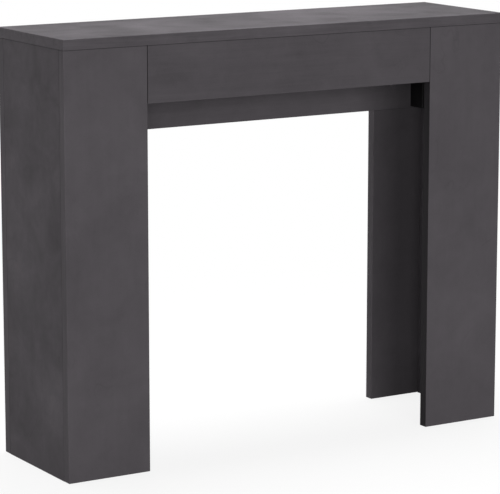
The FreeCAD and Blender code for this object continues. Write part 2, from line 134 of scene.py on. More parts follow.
# Drawn metal: what lines and haze add to its tone and roughness, its darkest tint, and what a scuff adds
DRAWN_TONES, DRAWN_MIDDLE = {"lines": 1.1, "haze": 0.8}, 0.65
DRAWN_ROUGHNESS = {"haze": 0.3, "lines": 0.2}
DRAWN_TINT = (0.72, 0.73, 0.75)
SCUFF_ROUGHNESS, SCUFF_DEPTH = 0.12, 0.3

# Moulded parts: what grain and flow marks add to their tone and roughness, and their lightest tone
MOULDED_TONES, MOULDED_MIDDLE = {"grain": 0.8, "flow": 1.4}, 0.35
MOULDED_ROUGHNESS = {"flow": 0.25, "grain": 0.12}
MOULDED_GAIN, MOULDED_LIFT = 1.5, (0.004, 0.004, 0.004)

# Spacing of the drawing lines on steel against those on aluminium
STEEL_LINES = 0.7

# Half of a cap's outline, from the middle of its dome to the middle of its foot, in radii and heights
CAP_OUTLINE = ((0, 1.0), (0.55, 0.97), (0.82, 0.84), (0.95, 0.55), (1.0, 0.18), (1.0, 0.0), (0, 0.0))
MERGE_DISTANCE = 1e-6

# How near to the rail's front face a screw's head starts where it shows there
FLUSH_DISTANCE = 0.001

# Each lamp's power setting, its width and height, its place, and the point that it faces
LAMPS = {
    "top_lamp": ("top_lamp", (2.2, 0.9), (0.2, 0.35, 2.6), (0.2, 0.35, 0)),
    "front_lamp": ("front_lamp", (3.4, 2.0), (-0.7, -6.45, 1.35), (0, 0, 0.45)),
    "fill_lamp": ("fill_lamp", (1.6, 2.2), (-4.36, -6.71, 1.4), (0, 0, 0.4)),
    "left_lamp": ("side_lamp", (0.8, 1.4), (-3.0, 0.4, 0.9), (0, 0, 0.4)),
    "right_lamp": ("side_lamp", (0.8, 1.4), (3.0, 0.4, 0.9), (0, 0, 0.4)),
    "back_lamp": ("back_lamp", (2.0, 0.6), (1.3, 3.8, 0.42), (0, 0, 0.4)),
}
SENSOR_WIDTH = 36
FLOOR_HALF_SIZE = 15

# The share of the shadow's reach within which the floor shows it in full
SHADOW_CORE = 0.4


class BoardFinish(bpy.types.PropertyGroup):
    """The printed melamine of the boards."""

    colour: FloatVectorProperty(
        name="Board colour", description="Middle tone of the printed decor",
        subtype="COLOR", size=3, min=0, max=1, default=(0.0875, 0.0802, 0.0875))
    apron_tone: FloatProperty(
        name="Apron tone", description="Tone of the apron against the other boards",
        subtype="FACTOR", min=0, max=2, default=0.925)
    cloud_size: FloatProperty(
        name="Cloud size", description="Usual width of a cloud in the decor",
        unit="LENGTH", subtype="DISTANCE", min=0.01, default=0.09)
    cloud_strength: FloatProperty(
        name="Cloud strength", description="How far the clouds go from the middle tone",
        subtype="FACTOR", min=0, max=2, default=0.45)
    side_cloud_gain: FloatProperty(
        name="Side board gain", description="How much stronger the clouds are on the side boards",
        min=0, max=8, default=2.6)
    top_cloud_gain: FloatProperty(
        name="Top gain", description="How much stronger the clouds are on the table top",
        min=0, max=8, default=4.5)
    streak_strength: FloatProperty(
        name="Streak strength", description="How far the fine streaks go from the middle tone",
        subtype="FACTOR", min=0, max=2, default=0.12)
    streak_gain: FloatProperty(
        name="Long board gain", description="How much stronger the streaks are on the boards that lie across",
        min=0, max=8, default=2.4)
    pore_size: FloatProperty(
        name="Pore size", description="Width of a pore in the pressed surface",
        unit="LENGTH", subtype="DISTANCE", min=0.0002, default=0.0016)
    pore_strength: FloatProperty(
        name="Pore darkness", description="How far the pores go from the middle tone",
        subtype="FACTOR", min=0, max=1, default=0.18)
    pore_depth: FloatProperty(
        name="Pore depth", description="Depth of the pressed surface",
        unit="LENGTH", subtype="DISTANCE", min=0, default=0.00012)
    roughness: FloatProperty(
        name="Roughness", description="Middle roughness of the surface",
        subtype="FACTOR", min=0, max=1, default=0.58)
    gloss: FloatProperty(
        name="Gloss level", description="Strength of the reflection at the surface",
        subtype="FACTOR", min=0, max=1, default=0.03)
    # Painted shade: the dark line of a joint stands in for the shade in its gap and under the top's overhang
    joint_shade_width: FloatProperty(
        name="Joint line", description="Width of the dark line on each board of a joint",
        unit="LENGTH", subtype="DISTANCE", min=0, default=0.0014)
    joint_shade_strength: FloatProperty(
        name="Joint darkness", description="How dark the line of a joint is",
        subtype="FACTOR", min=0, max=1, default=0.6)


class BandFinish(bpy.types.PropertyGroup):
    """The plastic edge bands."""

    colour: FloatVectorProperty(
        name="Band colour", description="Middle tone of the edge band",
        subtype="COLOR", size=3, min=0, max=1, default=(0.0862, 0.079, 0.0862))
    # Painted shade: the darker strip on the front legs' inner edges stands in for the shade inside the
    # opening between the legs
    inner_edge_painted_shade: FloatProperty(
        name="Inner edge shade",
        description="Tone of the band on the front legs' inner edges against the others",
        subtype="FACTOR", min=0, max=1, default=0.36)
    rub_width: FloatProperty(
        name="Rub width", description="How far an edge is rubbed lighter",
        unit="LENGTH", subtype="DISTANCE", min=0.0001, default=0.0016)
    rub_strength: FloatProperty(
        name="Rub strength", description="How much lighter a rubbed edge is",
        subtype="FACTOR", min=0, max=1, default=0.22)
    roughness: FloatProperty(
        name="Roughness", description="Middle roughness of the band",
        subtype="FACTOR", min=0, max=1, default=0.5)


class MetalFinish(bpy.types.PropertyGroup):
    """The slides and fittings."""

    aluminium: FloatVectorProperty(
        name="Aluminium", description="Colour of the slide members",
        subtype="COLOR", size=3, min=0, max=1, default=(0.40, 0.40, 0.41))
    steel: FloatVectorProperty(
        name="Plated steel", description="Colour of plates, brackets and screws",
        subtype="COLOR", size=3, min=0, max=1, default=(0.44, 0.44, 0.43))
    zinc: FloatVectorProperty(
        name="Cast zinc", description="Colour of cam locks and their bolts",
        subtype="COLOR", size=3, min=0, max=1, default=(0.40, 0.40, 0.42))
    line_spacing: FloatProperty(
        name="Line spacing", description="Spacing of the drawing lines on a slide member",
        unit="LENGTH", subtype="DISTANCE", min=0.0001, default=0.0009)


class SmallPartFinish(bpy.types.PropertyGroup):
    """Nylon, plastic and wood."""

    # On the guide blocks this near-black is also painted shade: it stands in for the deep shade at the rail's
    # ends
    nylon: FloatVectorProperty(
        name="Nylon", description="Colour of slide keys and guide blocks",
        subtype="COLOR", size=3, min=0, max=1, default=(0.0035, 0.003, 0.0035))
    glide: FloatVectorProperty(
        name="Glides", description="Colour of the floor glides",
        subtype="COLOR", size=3, min=0, max=1, default=(0.045, 0.045, 0.047))
    beech: FloatVectorProperty(
        name="Beech", description="Colour of the dowels",
        subtype="COLOR", size=3, min=0, max=1, default=(0.58, 0.40, 0.24))
    grain_size: FloatProperty(
        name="Moulded grain", description="Size of the grain on moulded parts",
        unit="LENGTH", subtype="DISTANCE", min=0.0001, default=0.0007)


class CoverCaps(bpy.types.PropertyGroup):
    """The push-on caps over cam locks and rail screws."""

    cam_cap_diameter: FloatProperty(
        name="Cam cap", description="Diameter of a cam lock's cap",
        unit="LENGTH", subtype="DISTANCE", min=0.005, default=0.0175)
    screw_cap_diameter: FloatProperty(
        name="Screw cap", description="Diameter of a rail screw's cap",
        unit="LENGTH", subtype="DISTANCE", min=0.005, default=0.0125)
    height: FloatProperty(
        name="Height", description="How far a cap stands out",
        unit="LENGTH", subtype="DISTANCE", min=0.0002, default=0.0009)
    segments: IntProperty(
        name="Segments", description="Steps round a cap", min=12, max=96, default=40)


class Studio(bpy.types.PropertyGroup):
    """Camera, light and floor."""

    camera_place: FloatVectorProperty(
        name="Camera", description="Place of the camera", subtype="TRANSLATION", unit="LENGTH",
        size=3, default=(-2.373598, -3.904916, 1.213964))
    camera_turn: FloatVectorProperty(
        name="Camera turn", description="Turn of the camera", subtype="EULER", unit="ROTATION",
        size=3, default=(math.radians(79.275), 0, math.radians(-31.141)))
    camera_lens: FloatProperty(
        name="Lens", description="Focal length in millimetres on a 36 mm sensor", min=1, default=185.27)
    floor_colour: FloatVectorProperty(
        name="Floor", description="Colour of the floor where it catches light",
        subtype="COLOR", size=3, min=0, max=1, default=(0.97, 0.97, 0.97))
    floor_bounce: FloatVectorProperty(
        name="Floor bounce", description="Colour of the light that the floor gives back",
        subtype="COLOR", size=3, min=0, max=1, default=(0.30, 0.30, 0.30))
    shadow_share: FloatProperty(
        name="Shadow share", description="How much of the floor's white comes from the lamps, near the table",
        subtype="FACTOR", min=0, max=1, default=0.14)
    shadow_reach: FloatProperty(
        name="Shadow reach", description="How far from the table's middle the floor shows shadow",
        unit="LENGTH", subtype="DISTANCE", min=0.1, default=1.5)
    room_light: FloatProperty(
        name="Room light", description="Strength of the even light from all sides", min=0, default=0.25)
    top_lamp: FloatProperty(
        name="Top lamp", description="Power of the lamp overhead", unit="POWER", min=0, default=53)
    front_lamp: FloatProperty(
        name="Front lamp", description="Power of the lamp in front", unit="POWER", min=0, default=182)
    fill_lamp: FloatProperty(
        name="Fill lamp", description="Power of the lamp in front, to the left",
        unit="POWER", min=0, default=163)
    side_lamp: FloatProperty(
        name="Side lamps", description="Power of the lamp at each side", unit="POWER", min=0, default=13)
    back_lamp: FloatProperty(
        name="Back lamp", description="Power of the lamp behind", unit="POWER", min=0, default=90)


class ConsoleTable(bpy.types.PropertyGroup):
    """All settings of the table."""

    boards: PointerProperty(type=BoardFinish, name="Boards", description="Melamine of the boards")
    bands: PointerProperty(type=BandFinish, name="Edge bands", description="Plastic edge bands")
    metals: PointerProperty(type=MetalFinish, name="Metals", description="Slides and fittings")
    small: PointerProperty(type=SmallPartFinish, name="Small parts", description="Nylon, plastic and wood")
    caps: PointerProperty(type=CoverCaps, name="Cover caps", description="Caps over locks and screws")
    studio: PointerProperty(type=Studio, name="Studio", description="Camera, light and floor")


# Node trees
class Graph:
    """Short ways to add and join the nodes of one tree."""

    def __init__(self, tree):
        self.tree = tree

    def put(self, socket, value):
        """Links a socket to an output, or sets its value."""
        if isinstance(value, bpy.types.NodeSocket):
            self.tree.links.new(value, socket)
        else:
            socket.default_value = value

    def node(self, kind, inputs=None, **settings):
        """A node with its settings made and its inputs filled by name or number."""
        made = self.tree.nodes.new(kind)
        for name, value in settings.items():
            setattr(made, name, value)
        for name, value in (inputs or {}).items():
            self.put(made.inputs[name], value)
        return made

    def maths(self, operation, *values):
        """One sum on numbers."""
        return self.node("ShaderNodeMath", dict(enumerate(values)), operation=operation).outputs[0]

    def total(self, first, *others):
        """Several numbers added up."""
        result = first
        for value in others:
            result = self.maths("ADD", result, value)
        return result

    def vectors(self, operation, *values):
        """One sum on vectors that gives a vector."""
        return self.node("ShaderNodeVectorMath", dict(enumerate(values)), operation=operation).outputs[0]

    def measure(self, operation, *values):
        """One sum on vectors that gives a number."""
        made = self.node("ShaderNodeVectorMath", dict(enumerate(values)), operation=operation)
        return made.outputs["Value"]

    def scaled(self, colour, share):
        """A colour made lighter or darker."""
        return self.vectors("MULTIPLY", colour, (share, share, share))

    def noise(self, vector, scale, detail=2.0, rough=0.5, bend=0.0):
        """Soft noise about a half."""
        inputs = {"Vector": vector, "Scale": scale, "Detail": detail, "Roughness": rough, "Distortion": bend}
        return self.node("ShaderNodeTexNoise", inputs).outputs[0]

    def remap(self, value, low, high, to_low=0.0, to_high=1.0):
        """A value's range turned into another, with its ends held."""
        inputs = {"Value": value, "From Min": low, "From Max": high, "To Min": to_low, "To Max": to_high}
        return self.node("ShaderNodeMapRange", inputs).outputs[0]

    def blend(self, factor, first, second):
        """A colour between two."""
        return self.node("ShaderNodeMix", {0: factor, 6: first, 7: second}, data_type="RGBA").outputs[2]

    def between(self, factor, first, second):
        """A number between two."""
        return self.node("ShaderNodeMix", {0: factor, 2: first, 3: second}, data_type="FLOAT").outputs[0]

    def swing(self, value, amount):
        """How far a noise is from a half, times an amount."""
        return self.maths("MULTIPLY", self.maths("SUBTRACT", value, 0.5), amount)

    def swings(self, noises, shares):
        """The swings of several noises, each with its own share."""
        return [self.swing(noises[label], share) for label, share in shares.items()]


SOCKET_TYPES = {"vector": "NodeSocketVector", "colour": "NodeSocketColor", "value": "NodeSocketFloat"}


def new_group(name, inputs, outputs):
    """An empty shader node group with named sockets: its graph, and its input and output sockets."""
    tree = bpy.data.node_groups.new(name, "ShaderNodeTree")
    for label, kind in inputs:
        tree.interface.new_socket(name=label, in_out="INPUT", socket_type=SOCKET_TYPES[kind])
    for label, kind in outputs:
        tree.interface.new_socket(name=label, in_out="OUTPUT", socket_type=SOCKET_TYPES[kind])
    graph = Graph(tree)
    return graph, graph.node("NodeGroupInput").outputs, graph.node("NodeGroupOutput").inputs


def group(name):
    """The shared effect of that name, built the first time it is asked for."""
    if name not in bpy.data.node_groups:
        GROUPS[name](name)
    return bpy.data.node_groups[name]


def decor_noises(g, place, cloud_size):
    """All noises of the cement decor by name."""
    cloud_scale = g.maths("DIVIDE", 1.0, cloud_size)
    noises = {}
    for label, (share, detail, rough, bend) in CLOUD_LAYERS.items():
        noises[label] = g.noise(place, g.maths("MULTIPLY", cloud_scale, share), detail, rough, bend)
    for label, (squeeze, scale, detail, rough, bend) in STREAK_LAYERS.items():
        drawn_out = g.vectors("MULTIPLY", place, (1.0, 1.0, squeeze))
        noises[label] = g.noise(drawn_out, scale, detail, rough, bend)
    return noises


def build_cement_decor(name):
    """Soft clouds, streaks, creases and pores of a cement print, running along the vector's Z."""
    inputs = (
        ("Vector", "vector"), ("Dark", "colour"), ("Light", "colour"), ("Cloud Size", "value"),
        ("Cloud Strength", "value"), ("Streak Strength", "value"), ("Pore Size", "value"),
        ("Pore Strength", "value"), ("Roughness", "value"),
    )
    outputs = (("Color", "colour"), ("Roughness", "value"), ("Height", "value"))
    g, given, put_out = new_group(name, inputs, outputs)
    noises = decor_noises(g, given["Vector"], given["Cloud Size"])
    from_crease = g.maths("ABSOLUTE", g.maths("SUBTRACT", noises["creases"], 0.5))
    crease_line = g.remap(from_crease, low=0.0, high=CREASE_WIDTH, to_low=1.0, to_high=0.0)
    crease_places = g.remap(noises["crease patches"], low=0.56, high=0.66)
    creases = g.maths("MULTIPLY", crease_line, crease_places)
    pores = g.noise(given["Vector"], g.maths("DIVIDE", 1.0, given["Pore Size"]), rough=0.6)
    pits = g.remap(pores, low=0.60, high=0.74)
    soft = g.maths("MULTIPLY", g.total(*g.swings(noises, CLOUD_SHARES)), given["Cloud Strength"])
    soft = g.maths("SUBTRACT", soft, g.maths("MULTIPLY", creases, CREASE_DARKNESS))
    lines = g.maths("MULTIPLY", g.total(*g.swings(noises, STREAK_SHARES)), given["Streak Strength"])
    tone = g.total(soft, lines, 0.5)
    tone = g.maths("SUBTRACT", tone, g.maths("MULTIPLY", pits, given["Pore Strength"]))
    g.put(put_out["Color"], g.blend(tone, given["Dark"], given["Light"]))
    g.put(put_out["Roughness"], g.total(given["Roughness"], *g.swings(noises, ROUGHNESS_SHARES)))
    pressed = g.maths("SUBTRACT", g.maths("MULTIPLY", noises["mottle"], MOTTLE_RELIEF), pits)
    g.put(put_out["Height"], g.total(pressed, g.swing(noises["streaks"], STREAK_RELIEF)))


def build_edge_rub(name):
    """Where the edges of a board are rubbed: near two of its box's six sides at once, in broken patches."""
    inputs = (("Vector", "vector"), ("Centre", "vector"), ("Half Size", "vector"), ("Reach", "value"))
    g, given, put_out = new_group(name, inputs, (("Mask", "value"),))
    away = g.vectors("ABSOLUTE", g.vectors("SUBTRACT", given["Vector"], given["Centre"]))
    depth = g.node("ShaderNodeSeparateXYZ", {0: g.vectors("SUBTRACT", given["Half Size"], away)}).outputs
    low = g.maths("MINIMUM", depth[0], depth[1])
    high = g.maths("MAXIMUM", depth[0], depth[1])
    second = g.maths("MAXIMUM", low, g.maths("MINIMUM", high, depth[2]))
    near = g.remap(second, low=0.0, high=given["Reach"], to_low=1.0, to_high=0.0)
    patches = g.noise(given["Vector"], scale=45.0, detail=4.0, rough=0.65)
    patches = g.remap(patches, low=0.36, high=0.66, to_low=0.25, to_high=1.0)
    g.put(put_out["Mask"], g.maths("MULTIPLY", near, patches))


def build_joint_shade(name):
    """Painted shade in a joint: a dark line near the box of the board that butts against this one."""
    inputs = (("Vector", "vector"), ("Centre", "vector"), ("Half Size", "vector"), ("Width", "value"))
    g, given, put_out = new_group(name, inputs, (("Mask", "value"),))
    away = g.vectors("ABSOLUTE", g.vectors("SUBTRACT", given["Vector"], given["Centre"]))
    outside = g.vectors("MAXIMUM", g.vectors("SUBTRACT", away, given["Half Size"]), (0, 0, 0))
    full_width = g.maths("MULTIPLY", given["Width"], 0.6)
    line = g.remap(g.measure("LENGTH", outside), low=full_width, high=given["Width"], to_low=1.0, to_high=0.0)
    g.put(put_out["Mask"], line)


def build_chip_core(name):
    """The pressed chips of a raw board edge."""
    outputs = (("Color", "colour"), ("Height", "value"))
    g, given, put_out = new_group(name, (("Vector", "vector"),), outputs)
    chips = g.node("ShaderNodeTexVoronoi", {"Vector": given["Vector"], "Scale": 420.0, "Randomness": 1.0})
    shade = g.node("ShaderNodeSeparateColor", {0: chips.outputs["Color"]}).outputs[0]
    gaps = g.noise(given["Vector"], scale=900.0, detail=3.0, rough=0.7)
    gaps = g.remap(gaps, low=0.58, high=0.72)
    g.put(put_out["Color"], g.blend(gaps, g.blend(shade, CHIP_DARK, CHIP_LIGHT), CHIP_GAP))
    g.put(put_out["Height"], g.maths("SUBTRACT", shade, gaps))


def build_drawn_lines(name):
    """Drawing lines along the vector's Z, with faint scuffs across them."""
    inputs = (("Vector", "vector"), ("Colour", "colour"), ("Spacing", "value"), ("Roughness", "value"))
    outputs = (("Color", "colour"), ("Roughness", "value"), ("Height", "value"))
    g, given, put_out = new_group(name, inputs, outputs)
    along = g.vectors("MULTIPLY", given["Vector"], (1.0, 1.0, 0.008))
    across = g.vectors("MULTIPLY", given["Vector"], (0.15, 0.3, 1.0))
    lines = g.noise(along, g.maths("DIVIDE", 1.0, given["Spacing"]), detail=3.0, rough=0.7)
    haze = g.noise(given["Vector"], scale=26.0, detail=4.0, rough=0.6, bend=0.5)
    scuffs = g.remap(g.noise(across, scale=300.0, detail=3.0, rough=0.6), low=0.60, high=0.70)
    noises = {"lines": lines, "haze": haze}
    darker = g.vectors("MULTIPLY", given["Colour"], DRAWN_TINT)
    shade = g.total(*g.swings(noises, DRAWN_TONES), DRAWN_MIDDLE)
    g.put(put_out["Color"], g.blend(shade, darker, given["Colour"]))
    rough = g.total(given["Roughness"], *g.swings(noises, DRAWN_ROUGHNESS))
    g.put(put_out["Roughness"], g.total(rough, g.maths("MULTIPLY", scuffs, SCUFF_ROUGHNESS)))
    g.put(put_out["Height"], g.maths("SUBTRACT", lines, g.maths("MULTIPLY", scuffs, SCUFF_DEPTH)))


def build_moulded_grain(name):
    """The fine grain and faint flow marks of a moulded part."""
    inputs = (("Vector", "vector"), ("Colour", "colour"), ("Grain Size", "value"), ("Roughness", "value"))
    outputs = (("Color", "colour"), ("Roughness", "value"), ("Height", "value"))
    g, given, put_out = new_group(name, inputs, outputs)
    grain = g.noise(given["Vector"], g.maths("DIVIDE", 1.0, given["Grain Size"]), rough=0.6)
    flow = g.noise(given["Vector"], scale=60.0, detail=4.0, rough=0.6, bend=0.8)
    noises = {"grain": grain, "flow": flow}
    lighter = g.vectors("ADD", g.scaled(given["Colour"], MOULDED_GAIN), MOULDED_LIFT)
    shade = g.total(*g.swings(noises, MOULDED_TONES), MOULDED_MIDDLE)
    g.put(put_out["Color"], g.blend(shade, given["Colour"], lighter))
    g.put(put_out["Roughness"], g.total(given["Roughness"], *g.swings(noises, MOULDED_ROUGHNESS)))
    g.put(put_out["Height"], grain)


GROUPS = {
    "Cement decor": build_cement_decor,
    "Edge rub": build_edge_rub,
    "Joint line": build_joint_shade,
    "Chip core": build_chip_core,
    "Drawn lines": build_drawn_lines,
    "Moulded grain": build_moulded_grain,
}


# Materials
def toned(colour, share=1.0):
    """A property's colour made lighter or darker, with full alpha."""
    return (*[min(1.0, part * share) for part in colour], 1.0)


def new_material(name, metallic=0.0, gloss=0.5):
    """A material with a plain Principled shader: its graph, its shader, and its coordinates."""
    made = bpy.data.materials.new(name)
    made.use_nodes = True
    graph = Graph(made.node_tree)
    shader = made.node_tree.nodes["Principled BSDF"]
    shader.inputs["Metallic"].default_value = metallic
    shader.inputs["Specular IOR Level"].default_value = gloss
    return made, graph, shader, graph.node("ShaderNodeTexCoord").outputs


def mapped(graph, vector, run="Z", shift=(0, 0, 0)):
    """Coordinates with an axis turned on to the pattern's Z, and the pattern shifted."""
    inputs = {"Vector": vector, "Location": shift, "Rotation": RUN_TURNS[run]}
    return graph.node("ShaderNodeMapping", inputs).outputs[0]


def effect(graph, name, inputs):
    """A shared effect placed in a material, as its outputs."""
    placed = graph.node("ShaderNodeGroup", node_tree=group(name))
    for label, value in inputs.items():
        graph.put(placed.inputs[label], value)
    return placed.outputs


def set_surface(graph, shader, colour, roughness, height, depth):
    """Gives a shader its colour and roughness, and presses a height pattern into the surface."""
    graph.put(shader.inputs["Base Color"], colour)
    graph.put(shader.inputs["Roughness"], roughness)
    inputs = {"Height": height, "Strength": 1.0, "Distance": depth}
    graph.put(shader.inputs["Normal"], graph.node("ShaderNodeBump", inputs).outputs[0])


def whole_box(node):
    """The middle and half size of a board with its bands."""
    low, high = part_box(node)
    band_low, band_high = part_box(f"{node}_edge_band")
    low = Vector(map(min, low, band_low))
    high = Vector(map(max, high, band_high))
    return (low + high) / 2, (high - low) / 2


def board_shift(node):
    """A different part of the endless decor for each board."""
    number = list(BOARDS).index(node)
    return tuple(start + step * number for start, step in zip(DECOR_START, DECOR_STEP))


def box_inputs(coords, node):
    """What an effect needs to know how near a point is to a board's box."""
    middle, half = whole_box(node)
    return {"Vector": coords["Object"], "Centre": middle, "Half Size": half}


def rubbed(graph, coords, colour, node, bands):
    """A colour made lighter along the edges of a board."""
    mask = effect(graph, "Edge rub", {**box_inputs(coords, node), "Reach": bands.rub_width})["Mask"]
    rub = graph.maths("MULTIPLY", mask, bands.rub_strength)
    return graph.blend(rub, colour, graph.scaled(colour, RUB_TONE))


def joint_shaded(graph, coords, colour, node, boards):
    """A colour with painted shade along the joints of a board."""
    for neighbour, openness in NEIGHBOURS[node].items():
        inputs = {**box_inputs(coords, neighbour), "Width": boards.joint_shade_width}
        mask = effect(graph, "Joint line", inputs)["Mask"]
        line = graph.maths("MULTIPLY", mask, boards.joint_shade_strength * openness)
        colour = graph.blend(line, colour, graph.scaled(colour, JOINT_SHADE_TONE))
    return colour


def decor_inputs(boards, colour, place, cloud_gain=1.0, streak_gain=1.0):
    """What the cement decor needs, from the board settings and a piece's own colour and gains."""
    return {
        "Vector": place, "Dark": toned(colour, DARK_TONE), "Light": toned(colour, LIGHT_TONE),
        "Cloud Size": boards.cloud_size, "Cloud Strength": boards.cloud_strength * cloud_gain,
        "Streak Strength": boards.streak_strength * streak_gain, "Pore Size": boards.pore_size,
        "Pore Strength": boards.pore_strength, "Roughness": boards.roughness,
    }


def board_decor(node, boards):
    """A board's own colour and gains."""
    tone = boards.apron_tone if node == "front_apron" else 1.0
    cloud_gain = 1.0
    if node.startswith("side_panel"):
        cloud_gain = boards.side_cloud_gain
    elif node == "table_top":
        cloud_gain = boards.top_cloud_gain
    return {
        "colour": [part * tone for part in boards.colour], "cloud_gain": cloud_gain,
        "streak_gain": boards.streak_gain if BOARDS[node][0] == "X" else 1.0,
    }


def raw_edge(graph, coords, node, joint_shade_width):
    """One where a board shows its core: on faces across its thickness, away from its two printed faces."""
    thin = AXES[BOARDS[node][1]]
    middle, half = whole_box(node)
    facing = graph.maths("ABSOLUTE", graph.measure("DOT_PRODUCT", coords["Normal"], thin))
    from_middle = graph.measure("DOT_PRODUCT", graph.vectors("SUBTRACT", coords["Object"], middle), thin)
    face_depth = graph.maths("SUBTRACT", half.dot(thin), graph.maths("ABSOLUTE", from_middle))
    # Within the width of the joint's painted shade from a printed face, the edge shows the printed colour
    # with that shade
    core = graph.remap(face_depth, low=joint_shade_width, high=2 * joint_shade_width)
    return graph.maths("MULTIPLY", graph.remap(facing, *FACING, to_low=1.0, to_high=0.0), core)


def board_material(node, table):
    """Printed melamine on a board's faces, and raw chips on the edges that have no band."""
    boards = table.boards
    made, g, shader, coords = new_material(f"melamine_{node}", gloss=boards.gloss)
    place = mapped(g, coords["Object"], BOARDS[node][0], board_shift(node))
    decor = effect(g, "Cement decor", decor_inputs(boards, place=place, **board_decor(node, boards)))
    printed = rubbed(g, coords, decor["Color"], node, table.bands)
    # Painted shade along the joints
    printed = joint_shaded(g, coords, printed, node, boards)
    chips = effect(g, "Chip core", {"Vector": place})
    raw = raw_edge(g, coords, node, boards.joint_shade_width)
    colour = g.blend(raw, printed, chips["Color"])
    roughness = g.between(raw, decor["Roughness"], CHIP_ROUGHNESS)
    height = g.between(raw, decor["Height"], chips["Height"])
    set_surface(g, shader, colour, roughness, height, boards.pore_depth)
    return made


def with_inner_painted_shade(graph, coords, colour, node, shade):
    """A front leg's band with painted shade: a darker strip on the edge that faces the other leg."""
    inward = AXES["X"] if whole_box(node)[0].x < 0 else -AXES["X"]
    facing = graph.remap(graph.measure("DOT_PRODUCT", coords["Normal"], inward), *FACING)
    return graph.blend(facing, colour, graph.scaled(colour, shade))


def band_material(node, table):
    """Plastic band with the boards' print on it, rubbed along its edges."""
    boards, bands = table.boards, table.bands
    made, g, shader, coords = new_material(f"band_{node}", gloss=boards.gloss)
    place = mapped(g, coords["Object"], BOARDS[node][0], board_shift(node))
    inputs = decor_inputs(boards, bands.colour, place, streak_gain=boards.streak_gain * BAND_STREAK_GAIN)
    inputs["Roughness"] = bands.roughness
    decor = effect(g, "Cement decor", inputs)
    colour = rubbed(g, coords, decor["Color"], node, bands)
    # Painted shade on the front legs' inner edges
    if node.startswith("front_leg"):
        colour = with_inner_painted_shade(g, coords, colour, node, bands.inner_edge_painted_shade)
    # Painted shade along the joints
    colour = joint_shaded(g, coords, colour, node, boards)
    set_surface(g, shader, colour, decor["Roughness"], decor["Height"], boards.pore_depth * BAND_RELIEF)
    return made


def drawn_material(name, colour, spacing, roughness, run, depth):
    """Metal with drawing lines along an axis."""
    made, g, shader, coords = new_material(name, metallic=1.0)
    place = mapped(g, coords["Object"], run)
    inputs = {"Vector": place, "Colour": toned(colour), "Spacing": spacing, "Roughness": roughness}
    lines = effect(g, "Drawn lines", inputs)
    set_surface(g, shader, lines["Color"], lines["Roughness"], lines["Height"], depth)
    return made


def moulded_material(name, colour, grain_size, roughness, depth, metallic=0.0, gloss=0.4):
    """Moulded or cast material with a fine grain."""
    made, g, shader, coords = new_material(name, metallic=metallic, gloss=gloss)
    place = coords["Object"]
    inputs = {"Vector": place, "Colour": toned(colour), "Grain Size": grain_size, "Roughness": roughness}
    grain = effect(g, "Moulded grain", inputs)
    set_surface(g, shader, grain["Color"], grain["Roughness"], grain["Height"], depth)
    return made


def beech_material(name, colour):
    """Beech with fine flecks."""
    made, g, shader, coords = new_material(name, gloss=0.3)
    grain = g.noise(coords["Object"], scale=520.0, detail=4.0, rough=0.6, bend=0.4)
    flecks = g.remap(g.noise(coords["Object"], scale=1600.0), low=0.58, high=0.68)
    body = g.blend(grain, toned(colour, share=0.75), toned(colour, share=1.2))
    flecked = g.blend(flecks, body, toned(colour, share=0.45))
    roughness = g.remap(grain, low=0.3, high=0.7, to_low=0.6, to_high=0.8)
    set_surface(g, shader, flecked, roughness, grain, depth=0.0002)
    return made


def dress(node, material):
    """Gives a CAD node's object its material."""
    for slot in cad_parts[node].material_slots:
        slot.material = material


# Pieces
def add_cap(bm, diameter, caps, at, facing):
    """A domed push-on cap with a rounded rim, spun from half its outline, standing at a point."""
    others = set(bm.verts)
    radius = diameter / 2
    verts = [bm.verts.new((radius * share, 0, caps.height * rise)) for share, rise in CAP_OUTLINE]
    edges = [bm.edges.new(pair) for pair in zip(verts, verts[1:])]
    bmesh.ops.spin(
        bm, geom=verts + edges, cent=(0, 0, 0), axis=AXES["Z"], angle=2 * math.pi, steps=caps.segments,
        use_merge=True, use_duplicate=False)
    turn = AXES["Z"].rotation_difference(facing).to_matrix().to_4x4()
    cap = [vert for vert in bm.verts if vert not in others]
    bmesh.ops.transform(bm, matrix=Matrix.Translation(at) @ turn, verts=cap)


def cap_piece(name, places, diameter, caps, material, body):
    """All caps of one kind as one piece that rides on a body."""
    bm = bmesh.new()
    for at, facing in places:
        add_cap(bm, diameter, caps, at, facing)
    bmesh.ops.remove_doubles(bm, verts=bm.verts, dist=MERGE_DISTANCE)
    bmesh.ops.recalc_face_normals(bm, faces=bm.faces)
    for face in bm.faces:
        face.smooth = True
    mesh = bpy.data.meshes.new(name)
    bm.to_mesh(mesh)
    bm.free()
    piece = bpy.data.objects.new(name, mesh)
    bpy.context.scene.collection.objects.link(piece)
    mesh.materials.append(material)
    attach(piece, body)


def solid_boxes(node):
    """The lowest and highest corner of each separate solid of a CAD node, in order."""
    bm = bmesh.new()
    bm.from_mesh(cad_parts[node].data)
    bmesh.ops.remove_doubles(bm, verts=bm.verts, dist=MERGE_DISTANCE)
    left = set(bm.verts)
    boxes = []
    while left:
        reached = set()
        ahead = [left.pop()]
        while ahead:
            vert = ahead.pop()
            reached.add(vert)
            near = [edge.other_vert(vert) for edge in vert.link_edges]
            fresh = [other for other in near if other in left]
            left.difference_update(fresh)
            ahead.extend(fresh)
        columns = list(zip(*(vert.co for vert in reached)))
        boxes.append((Vector(map(min, columns)), Vector(map(max, columns))))
    bm.free()
    return sorted(boxes, key=lambda box: tuple(round(part, 4) for part in box[0]))


# Stage
def white_rays(graph):
    """One for the rays that show the white background: from the camera, off gloss and through glass."""
    path = graph.node("ShaderNodeLightPath").outputs
    seen = graph.maths("MAXIMUM", path["Is Camera Ray"], path["Is Glossy Ray"])
    return graph.maths("MAXIMUM", seen, path["Is Transmission Ray"])


